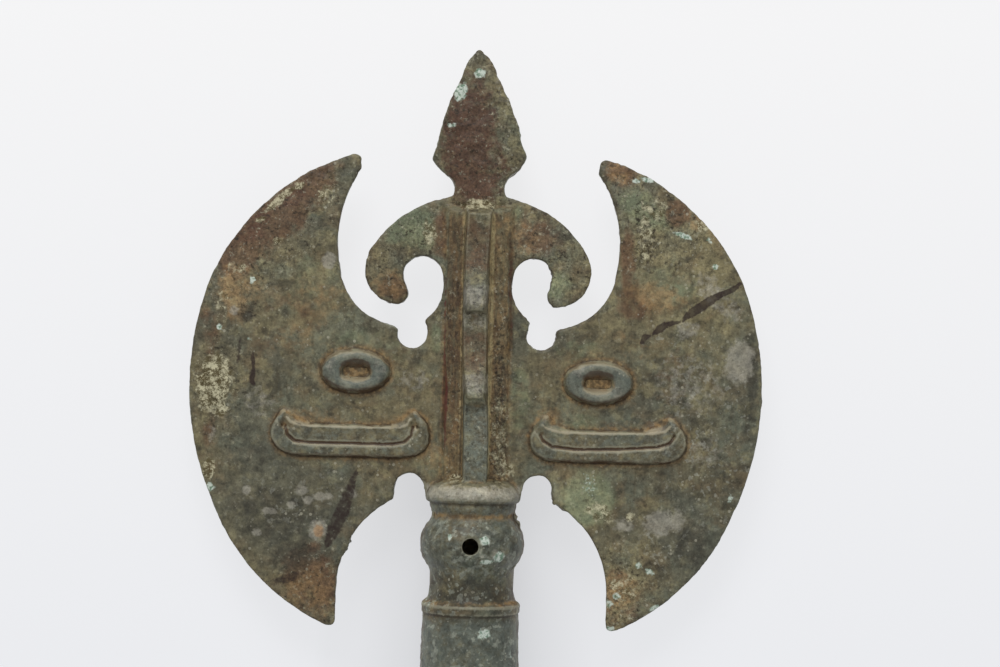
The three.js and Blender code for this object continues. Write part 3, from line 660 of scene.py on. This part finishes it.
def paint_earth(skin):
    """Earth round the foot of each relief, in the slots and grooves and above the band; painted
    shadow in the mouths' grooves, painted highlights on their lips, and dust with painted
    highlight and shade on the slopes round the relief.
    """
    points, x, y, z = skin.points, skin.x, skin.y, skin.z
    relief = relief_of(points)
    halo = averaged(relief.astype(float), skin.edges, 90)
    slots = [skin.front * patch(points, eye_x, eye_y - 0.2, 10.6, 5.4) * (z < 4.7)
             for eye_x, eye_y in EYES]
    sides = 0.5 + 0.4 * ramp(np.abs(x), 8, 13)
    skin.paint("earth", (1 - relief) * ramp(halo, 0.06, 0.42) * 0.85, *slots,
               0.8 * line(y, NECK, 2.0) * (np.hypot(x, z) < 14.5),
               sides * line(y, ABOVE_BAND, 1.9) * (np.abs(x) < 17))
    # Painted shadow along each mouth's groove and a painted highlight along its lip.
    for name, paths, width in (("groove", GROOVES, 0.9), ("lip", LIPS, 0.6)):
        skin.paint(name, *(skin.front * along(points, centre, path, width)
                           for centre, path in zip(MOUTHS, paths)))
    around = ramp(halo, 0.03, 0.2) * skin.front
    # Round the relief: cream dust and a painted highlight on slopes that face the spear tip, where
    # the key light comes from, and painted shade on slopes that face away.
    skin.paint("dust_and_painted_highlight", around * ramp(skin.normals[:, 1], 0.25, 0.75))
    skin.paint("painted_under_shade", around * ramp(-skin.normals[:, 1], 0.2, 0.6))
    skin.paint("pits", pitted(points))


def thinned(casting):
    """Fewer triangles where the skin is smooth, and fewest behind and inside the socket."""
    x, y, z = points_of(casting).T
    bore = (np.hypot(x, z) < BORE_SIDE) & (y < BORE_TOP)
    flat_back = (normals_of(casting)[:, 2] < -0.8) & (np.abs(x) > SOCKET_SIDE)
    share = np.where(y < PLAIN_TUBE, TUBE_SHARE, FRONT_SHARE)
    share[bore | flat_back] = PLAIN_SHARE
    share[y < RIM] = FRONT_SHARE
    group = casting.vertex_groups.new(name="plain side")
    for value in np.unique(share):
        group.add(np.flatnonzero(share == value).tolist(), float(value), "REPLACE")
    casting.data.calc_loop_triangles()
    count = len(casting.data.loop_triangles)
    applied(casting, "DECIMATE", ratio=min(1.0, TRIANGLE_TARGET / count),
            vertex_group="plain side")
    casting.vertex_groups.clear()


# ------------------------------------------------------------------ shader helpers

def linear(red, green, blue):
    """A colour given as it looks, from 0 to 255, as a linear one for a shader."""
    parts = [c / 255 for c in (red, green, blue)]
    return (*[p / 12.92 if p <= 0.04045 else ((p + 0.055) / 1.055) ** 2.4 for p in parts], 1)


class Tree:
    """Nodes of a material or a group, placed from left to right as they are made."""

    def __init__(self, tree):
        self.tree = tree
        self.count = 0

    def node(self, kind, inputs=(), **settings):
        """A new node with these settings and these inputs."""
        made = self.tree.nodes.new(kind)
        made.location = (180 * (self.count // 5), -260 * (self.count % 5))
        self.count += 1
        for name, value in settings.items():
            setattr(made, name, value)
        for name, value in dict(inputs).items():
            self.feed(made.inputs[name], value)
        return made

    def feed(self, socket, value):
        """Links the socket to another, or sets its value."""
        if isinstance(value, bpy.types.NodeSocket):
            self.tree.links.new(value, socket)
        else:
            socket.default_value = value

    def math(self, operation, a, b=0.0, clamp=False):
        made = self.node("ShaderNodeMath", operation=operation, use_clamp=clamp)
        self.feed(made.inputs[0], a)
        self.feed(made.inputs[1], b)
        return made.outputs[0]

    def mask(self, name):
        """A mask kept on the casting's points."""
        return self.node("ShaderNodeAttribute", attribute_name=name).outputs["Fac"]

    def mix(self, share, a, b):
        """Colour a, turned to b by this share."""
        made = self.node("ShaderNodeMix", data_type="RGBA")
        self.feed(made.inputs[0], share)
        self.feed(made.inputs[6], a)
        self.feed(made.inputs[7], b)
        return made.outputs[2]

    def scaled(self, colour, by):
        made = self.node("ShaderNodeVectorMath", operation="SCALE")
        self.feed(made.inputs[0], colour)
        self.feed(made.inputs["Scale"], by)
        return made.outputs[0]

    def between(self, value, low, high, start=0.0, end=1.0):
        """The value taken from between low and high to between start and end."""
        made = self.node("ShaderNodeMapRange", {
            "Value": value, "From Min": low, "From Max": high, "To Min": start, "To Max": end})
        return made.outputs[0]

    def group(self, group, **inputs):
        """A node that holds a shader group, with these inputs."""
        made = self.node("ShaderNodeGroup", node_tree=group)
        for name, value in inputs.items():
            self.feed(made.inputs[name], value)
        return made.outputs[0]


def new_group(name, inputs, output):
    """An empty shader group with these named number or vector inputs and one output."""
    group = bpy.data.node_groups.new(name, "ShaderNodeTree")
    for label, value in inputs.items():
        kind = "NodeSocketVector" if value is None else "NodeSocketFloat"
        socket = group.interface.new_socket(label, in_out="INPUT", socket_type=kind)
        if value is not None:
            socket.default_value = value
    group.interface.new_socket(output, in_out="OUTPUT", socket_type="NodeSocketFloat")
    tree = Tree(group)
    return group, tree, tree.node("NodeGroupInput").outputs, tree.node("NodeGroupOutput").inputs


def mottle_group():
    """Cloudy patches: noise of one size, cut to a mask between two of its values."""
    group, tree, given, out = new_group("Mottle", {
        "Vector": None, "Scale": 100.0, "Low": 0.4, "High": 0.6, "Detail": 4.0,
        "Roughness": 0.6}, "Mask")
    noise = tree.node("ShaderNodeTexNoise", {
        "Vector": given["Vector"], "Scale": given["Scale"], "Detail": given["Detail"],
        "Roughness": given["Roughness"]})
    tree.feed(out["Mask"], tree.between(noise.outputs[0], given["Low"], given["High"]))
    return group


def ragged_group():
    """A painted mask with its soft rim broken up into ragged blots."""
    group, tree, given, out = new_group("Ragged", {
        "Vector": None, "Mask": 0.0, "Scale": 400.0, "Rag": 0.8, "Sharpness": 3.0}, "Mask")
    noise = tree.node("ShaderNodeTexNoise", {
        "Vector": given["Vector"], "Scale": given["Scale"], "Detail": 5.0, "Roughness": 0.65})
    centred = tree.math("SUBTRACT", noise.outputs[0], 0.5)
    broken = tree.math("MULTIPLY_ADD", centred, given["Rag"])
    tree.feed(broken.node.inputs[2], given["Mask"])
    lowered = tree.math("SUBTRACT", broken, 0.5)
    sharpened = tree.math("MULTIPLY_ADD", lowered, given["Sharpness"], clamp=True)
    tree.feed(sharpened.node.inputs[2], 0.5)
    bounded = tree.math("MULTIPLY", sharpened, tree.between(given["Mask"], 0.0, 0.15), clamp=True)
    tree.feed(out["Mask"], bounded)
    return group


def fleck_group():
    """Scattered specks: the hearts of random cells, kept in some cells only."""
    group, tree, given, out = new_group("Fleck", {
        "Vector": None, "Scale": 800.0, "Size": 0.25, "Share": 0.3}, "Mask")
    cells = tree.node("ShaderNodeTexVoronoi", {"Vector": given["Vector"], "Scale": given["Scale"]})
    heart = tree.math("LESS_THAN", cells.outputs["Distance"], given["Size"])
    split = tree.node("ShaderNodeSeparateColor", {"Color": cells.outputs["Color"]})
    kept = tree.math("LESS_THAN", split.outputs[0], given["Share"])
    tree.feed(out["Mask"], tree.math("MULTIPLY", heart, kept))
    return group


# ------------------------------------------------------------------ the old bronze

# Clouds over the ground: size in millimetres, where the noise starts and ends, offset, strength
# and the colour as it looks.
CLOUDS = (
    (12, 0.47, 0.62, 1, 0.6, (109, 114, 97)),
    (9, 0.5, 0.64, 2, 0.42, (119, 99, 70)),
    (5, 0.52, 0.62, 3, 0.5, (140, 132, 98)),
    (4.2, 0.53, 0.62, 4, 0.6, (66, 62, 50)),
)

# Stains, and painted highlights and shadows round the relief: the mask, the size of its blots in
# millimetres, how ragged and how sharp they are, strength and colour.
STAINS = (
    ("green", 5, 1.7, 2.0, 0.5, (120, 132, 103)),
    ("brown", 5, 1.9, 2.0, 0.75, (98, 72, 52)),
    ("maroon", 2.6, 1.9, 2.0, 0.85, (86, 59, 46)),
    ("tan", 3, 2.0, 1.8, 0.5, (158, 127, 86)),
    # Dark stains, with painted shade at the waist below the bead among them.
    ("dark", 3, 1.7, 2.0, 0.65, (54, 52, 45)),
    ("steel", 1.8, 1.6, 1.8, 0.75, (100, 108, 101)),
    # Pale patina, with painted highlights on the fin's slopes and the roll's top and painted light
    # on the fin's shaded step.
    ("bloom_and_painted_light", 2.2, 1.7, 2.6, 0.6, (160, 156, 143)),
    ("spot", 1.2, 1.2, 2.0, 0.75, (162, 130, 96)),
)
MARKS = (
    # Painted shade on the relief's slopes that face away from the spear tip.
    ("painted_under_shade", 4, 1.8, 1.6, 0.65, (80, 57, 41)),
    # Cream dust and a painted highlight on the relief's slopes that face the spear tip.
    ("dust_and_painted_highlight", 4, 2.2, 1.8, 0.55, (184, 172, 142)),
    # Painted shadow in the mouths' grooves, then a painted highlight on their lips.
    ("groove", 1.2, 0.9, 2.0, 0.6, (96, 64, 44)),
    ("lip", 3.5, 2.2, 2.0, 0.55, (190, 178, 150)),
)


class Patina(Tree):
    """The bronze's nodes, where each coat of colour goes over the ones before it."""

    def __init__(self, tree):
        super().__init__(tree)
        self.mottle, self.ragged, self.fleck = mottle_group(), ragged_group(), fleck_group()
        self.place = self.node("ShaderNodeTexCoord").outputs["Object"]
        self.rough_skin = self.mask("grainy")
        self.grain = self.noise(0.9, 6.0, 0.75)
        self.coarse = self.noise(3.4, 4.0, 0.65)
        self.colour = None

    def noise(self, size, detail, rough):
        """Plain noise of this size in millimetres."""
        return self.node("ShaderNodeTexNoise", {
            "Vector": self.place, "Scale": 1 / (size * MM), "Detail": detail,
            "Roughness": rough}).outputs[0]

    def cloud(self, size, low, high, offset=0.0, detail=4.0, rough=0.6, length=None):
        """Cloudy patches about this many millimetres across, or streaks of a length."""
        spot = self.node("ShaderNodeMapping", {
            "Vector": self.place, "Location": (offset, 0, 0),
            "Scale": (1, size / (length or size), 1)})
        return self.group(self.mottle, Vector=spot.outputs[0], Scale=1 / (size * MM), Low=low,
                          High=high, Detail=detail, Roughness=rough)

    def worn(self, name, size, rag, sharpness):
        """A painted mask broken up by noise of this size in millimetres."""
        return self.group(self.ragged, Vector=self.place, Mask=self.mask(name),
                          Scale=1 / (size * MM), Rag=rag, Sharpness=sharpness)

    def specks(self, size, heart, share):
        """Specks in this share of the cells, which are this many millimetres across."""
        return self.group(self.fleck, Vector=self.place, Scale=1 / (size * MM), Size=heart,
                          Share=share)

    def times(self, a, b):
        return self.math("MULTIPLY", a, b)

    def stronger(self, a, b):
        return self.math("MAXIMUM", a, b)

    def coat(self, share, strength, colour):
        """Lays a colour over what is there: one as it looks, or a socket's."""
        if isinstance(colour, tuple):
            colour = linear(*colour)
        self.colour = self.mix(self.times(share, strength), self.colour, colour)


def ground(patina):
    """Olive, clouded with grey-green, ochre and brown at several sizes."""
    patina.colour = patina.mix(patina.cloud(26, 0.42, 0.58), linear(116, 108, 82),
                               linear(95, 93, 77))
    patina.coat(patina.worn("ochre", 8, 1.4, 1.4), 0.6, (137, 128, 94))
    for size, low, high, offset, strength, colour in CLOUDS:
        patina.coat(patina.cloud(size, low, high, offset), strength, colour)
    patina.coat(patina.cloud(1.5, 0.52, 0.64, length=10), 0.35, (76, 68, 50))
    patina.coat(patina.worn("cool", 9, 1.5, 1.5), 0.5, (92, 95, 84))


def stains(patina):
    """Broad stains, with painted highlights and shade among them, and the streaked and soiled
    strips beside the fin.
    """
    for name, size, rag, sharpness, strength, colour in STAINS:
        patina.coat(patina.worn(name, size, rag, sharpness), strength, colour)
    bands = patina.mix(patina.cloud(1.2, 0.46, 0.56, 5, length=3.4), linear(52, 42, 29),
                       linear(124, 105, 71))
    bands = patina.mix(patina.cloud(2.0, 0.5, 0.6, 6, length=7), bands, linear(98, 98, 76))
    patina.coat(patina.worn("strip", 3, 0.8, 2.0), 0.42, bands)
    patina.coat(patina.worn("foot", 2.0, 1.4, 2.4), 0.8, (180, 168, 126))


def flecks(patina):
    """Flecks, pale and dark, thickest where the skin is rough."""
    thick = patina.between(patina.rough_skin, 0.0, 1.0, 0.4, 0.9)
    patina.coat(patina.cloud(1.9, 0.58, 0.66, 8, 6.0, 0.72), patina.times(thick, 0.85),
                (158, 155, 134))
    patina.coat(patina.cloud(1.9, 0.56, 0.65, 12, 5.0, 0.68), thick, (46, 39, 27))
    freckles = patina.times(patina.worn("freckled", 8, 1.4, 1.6),
                            patina.cloud(1.7, 0.6, 0.65, 16, 2.0, 0.5))
    patina.coat(freckles, 0.5, (150, 150, 138))
    speckled = patina.times(patina.worn("blotchy", 8, 1.2, 1.6),
                            patina.cloud(2.3, 0.58, 0.62, 13, 2.0, 0.5))
    patina.coat(speckled, 0.55, (156, 160, 146))
    inked = patina.times(patina.mask("blotchy"), patina.cloud(5, 0.48, 0.62, 15, 3.0, 0.5))
    patina.coat(inked, 0.5, (62, 66, 60))


def shading(patina):
    """Fine grain over all of it, stronger where the skin is rough, and broad light and dark:
    random tone, but a painted highlight on the roll, painted light on the fin's shaded step and
    painted shade at the waist.
    """
    spread = patina.between(patina.rough_skin, 0.0, 1.0, 1.55, 3.2)
    fine = patina.math("MULTIPLY_ADD", patina.math("SUBTRACT", patina.grain, 0.5), spread)
    patina.feed(fine.node.inputs[2], 1.0)
    shade = patina.times(fine, patina.between(patina.coarse, 0.3, 0.7, 0.66, 1.34))
    # The tone holds random light and dark, a painted highlight on the roll, painted light on the
    # fin's step and painted shade at the waist.
    shade = patina.times(shade, patina.between(patina.mask("tone"), 0.0, 1.0, 0.62, 1.42))
    patina.colour = patina.scaled(patina.colour, shade)


def mineral(patina):
    """Specks of mineral, in clusters."""
    clusters = patina.times(patina.cloud(12, 0.44, 0.6, 10),
                            patina.between(patina.mask("maroon"), 0.0, 1.0, 1.0, 0.4))
    sparkle = patina.stronger(patina.times(patina.specks(2.6, 0.18, 0.45), 0.45),
                              patina.times(patina.specks(1.4, 0.2, 0.2), 0.4))
    patina.coat(sparkle, clusters, (190, 186, 166))


def marks(patina):
    """Streaks, creases, the earth that fills the hollows, painted highlights and shadows round the
    relief, painted shade in small hollows and along the turned lines, and pits; returns the
    earth's mask.
    """
    ink = patina.between(patina.coarse, 0.35, 0.6, 0.97, 0.78)
    patina.coat(patina.worn("streak", 1.4, 0.8, 3.0), ink, (47, 34, 30))
    patina.coat(patina.worn("crease", 1.6, 1.6, 2.4), 0.75, (90, 44, 38))
    earth = patina.stronger(patina.worn("earth", 2.2, 1.4, 1.8),
                            patina.times(patina.worn("hollow", 2.0, 1.1, 1.8), 0.7))
    soil = patina.mix(patina.cloud(1.8, 0.44, 0.58, 5), linear(94, 70, 44), linear(158, 127, 84))
    patina.coat(earth, 0.65, soil)
    for name, size, rag, sharpness, strength, colour in MARKS:
        patina.coat(patina.worn(name, size, rag, sharpness), strength, colour)
    # Painted shade, near black, in small hollows, along the socket's turned lines and in the right
    # crease.
    gaps = patina.stronger(patina.times(patina.worn("painted_crease_shade", 1.0, 0.9, 2.4), 0.65),
                           patina.times(patina.mask("painted_groove_shade"), 0.7))
    patina.colour = patina.mix(gaps, patina.colour, linear(46, 37, 26))
    pitting = patina.times(patina.worn("pits", 3, 1.2, 2.4),
                           patina.cloud(1.2, 0.52, 0.57, 9, 6.0, 0.75))
    patina.coat(pitting, 0.75, (36, 28, 17))
    return earth


def crusts(patina):
    """Thin edges, stained in places and bare in others, crusts and rubbed ridges over them."""
    rim = patina.mix(patina.cloud(5, 0.46, 0.58, 14), linear(82, 63, 46), linear(134, 137, 116))
    patina.coat(patina.mask("edge"), 0.5, rim)
    lime = patina.worn("lime", 2.2, 2.2, 2.6)
    crumbs = patina.mix(patina.cloud(2.2, 0.47, 0.56, 6, 8.0, 0.85), linear(84, 74, 46),
                        linear(222, 216, 182))
    patina.coat(lime, 0.75, crumbs)
    copper = patina.mix(patina.cloud(1.0, 0.4, 0.54, 7), linear(112, 144, 122),
                        linear(220, 232, 220))
    patina.coat(patina.worn("verdigris", 1.2, 1.9, 2.6), 0.78, copper)
    patina.coat(patina.worn("rubbed", 1.2, 0.9, 2.0), 0.45, (166, 163, 141))
    return lime


def old_bronze():
    """An earth-stained olive patina over bronze, with crusts, blooms and rubbed relief, and
    painted light and shade on the relief, the fin and the socket.
    """
    material = bpy.data.materials.new("old bronze")
    material.use_nodes = True
    shader = material.node_tree.nodes["Principled BSDF"].inputs
    shader["Specular IOR Level"].default_value = 0.3
    patina = Patina(material.node_tree)
    ground(patina)
    stains(patina)
    flecks(patina)
    shading(patina)
    mineral(patina)
    earth = marks(patina)
    lime = crusts(patina)
    patina.feed(shader["Base Color"], patina.colour)

    crusted = patina.times(patina.stronger(lime, earth), 0.85)
    rough = patina.between(patina.grain, 0.35, 0.65, 0.36, 0.58)
    patina.feed(shader["Roughness"], patina.stronger(rough, crusted))

    height = patina.times(patina.noise(1.1, 5.0, 0.75),
                          patina.between(patina.rough_skin, 0.0, 1.0, 0.7, 1.5))
    bump = patina.node("ShaderNodeBump", {
        "Strength": 0.6, "Distance": 0.2 * MM, "Height": height})
    patina.feed(shader["Normal"], bump.outputs[0])
    return material


casting = refined_casting()
round_relief(casting)
weather(casting)
skin = Skin(casting)
for paint in (paint_hollows, paint_stains, paint_lines, paint_skin, paint_earth):
    paint(skin)
thinned(casting)
casting.data.polygons.foreach_set("use_smooth", [True] * len(casting.data.polygons))
casting.data.materials.append(old_bronze())

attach(casting, "root")
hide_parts("axe_head")


# ------------------------------------------------------------------ floor, light and camera

def floor():
    """Pale paper that glows a little, so that shadows on it stay faint."""
    bpy.ops.object.select_all(action="DESELECT")
    bpy.ops.mesh.primitive_plane_add(size=4, location=(0, 0, 0))
    table = bpy.context.object
    table.name = "floor"
    paper = bpy.data.materials.new("pale paper")
    paper.use_nodes = True
    surface = paper.node_tree.nodes["Principled BSDF"].inputs
    surface["Base Color"].default_value = (0.14, 0.14, 0.145, 1)
    surface["Roughness"].default_value = 0.9
    surface["Specular IOR Level"].default_value = 0.1
    surface["Emission Strength"].default_value = 1.0

    # Painted light and shadow: the glow is brighter and warmer towards the spear, as the softbox
    # beyond the spear tip would light it, and a painted shadow makes it fainter close beside the
    # socket.
    tree = Tree(paper.node_tree)
    place = tree.node("ShaderNodeTexCoord").outputs["Object"]
    parts = tree.node("ShaderNodeSeparateXYZ", {"Vector": place}).outputs
    glow = tree.mix(tree.between(parts["Y"], -0.1, 0.13), (0.715, 0.725, 0.75, 1),
                    (0.79, 0.79, 0.795, 1))
    # Painted shadow close beside the socket, ending past the socket's mouth.
    beside = tree.between(tree.math("ABSOLUTE", parts["X"]), 0.012, 0.05, 0.8, 1.0)
    above = tree.between(parts["Y"], -0.03, 0.0, 0.0, 1.0)
    past_mouth = tree.between(parts["Y"], -0.12, -0.16, 0.0, 1.0)
    away = tree.math("MAXIMUM", above, past_mouth)
    glow = tree.scaled(glow, tree.math("MAXIMUM", beside, away))
    tree.feed(surface["Emission Color"], glow)
    table.data.materials.append(paper)


def softbox(name, place, aim, size, power):
    """A square light at a place, turned to an aim."""
    light = bpy.data.lights.new(name, "AREA")
    light.shape = "SQUARE"
    light.size = size
    light.energy = power
    lamp = bpy.data.objects.new(name, light)
    bpy.context.collection.objects.link(lamp)
    lamp.location = place
    lamp.rotation_euler = (Vector(aim) - Vector(place)).to_track_quat("-Z", "Y").to_euler()


def studio():
    """Even white light from all round, and one softbox beyond the spear tip."""
    world = bpy.data.worlds.new("studio")
    world.use_nodes = True
    background = world.node_tree.nodes["Background"].inputs
    background["Color"].default_value = (1, 1, 1, 1)
    background["Strength"].default_value = 0.45
    bpy.context.scene.world = world
    softbox("key softbox", place=(-0.2, 1.2, 1.1), aim=(0, 0, 0), size=0.8, power=14)


def camera():
    """A camera that looks straight down on the front face."""
    lens = bpy.data.cameras.new("camera")
    lens.lens = LENS
    lens.sensor_width = 36
    eye = bpy.data.objects.new("camera", lens)
    bpy.context.collection.objects.link(eye)
    eye.location = ORIGIN + np.array(CAMERA_PLACE) * MM
    eye.rotation_euler = (0, 0, math.radians(CAMERA_TURN))
    bpy.context.scene.camera = eye


floor()
studio()
camera()
bpy.context.scene.view_settings.view_transform = "Standard"
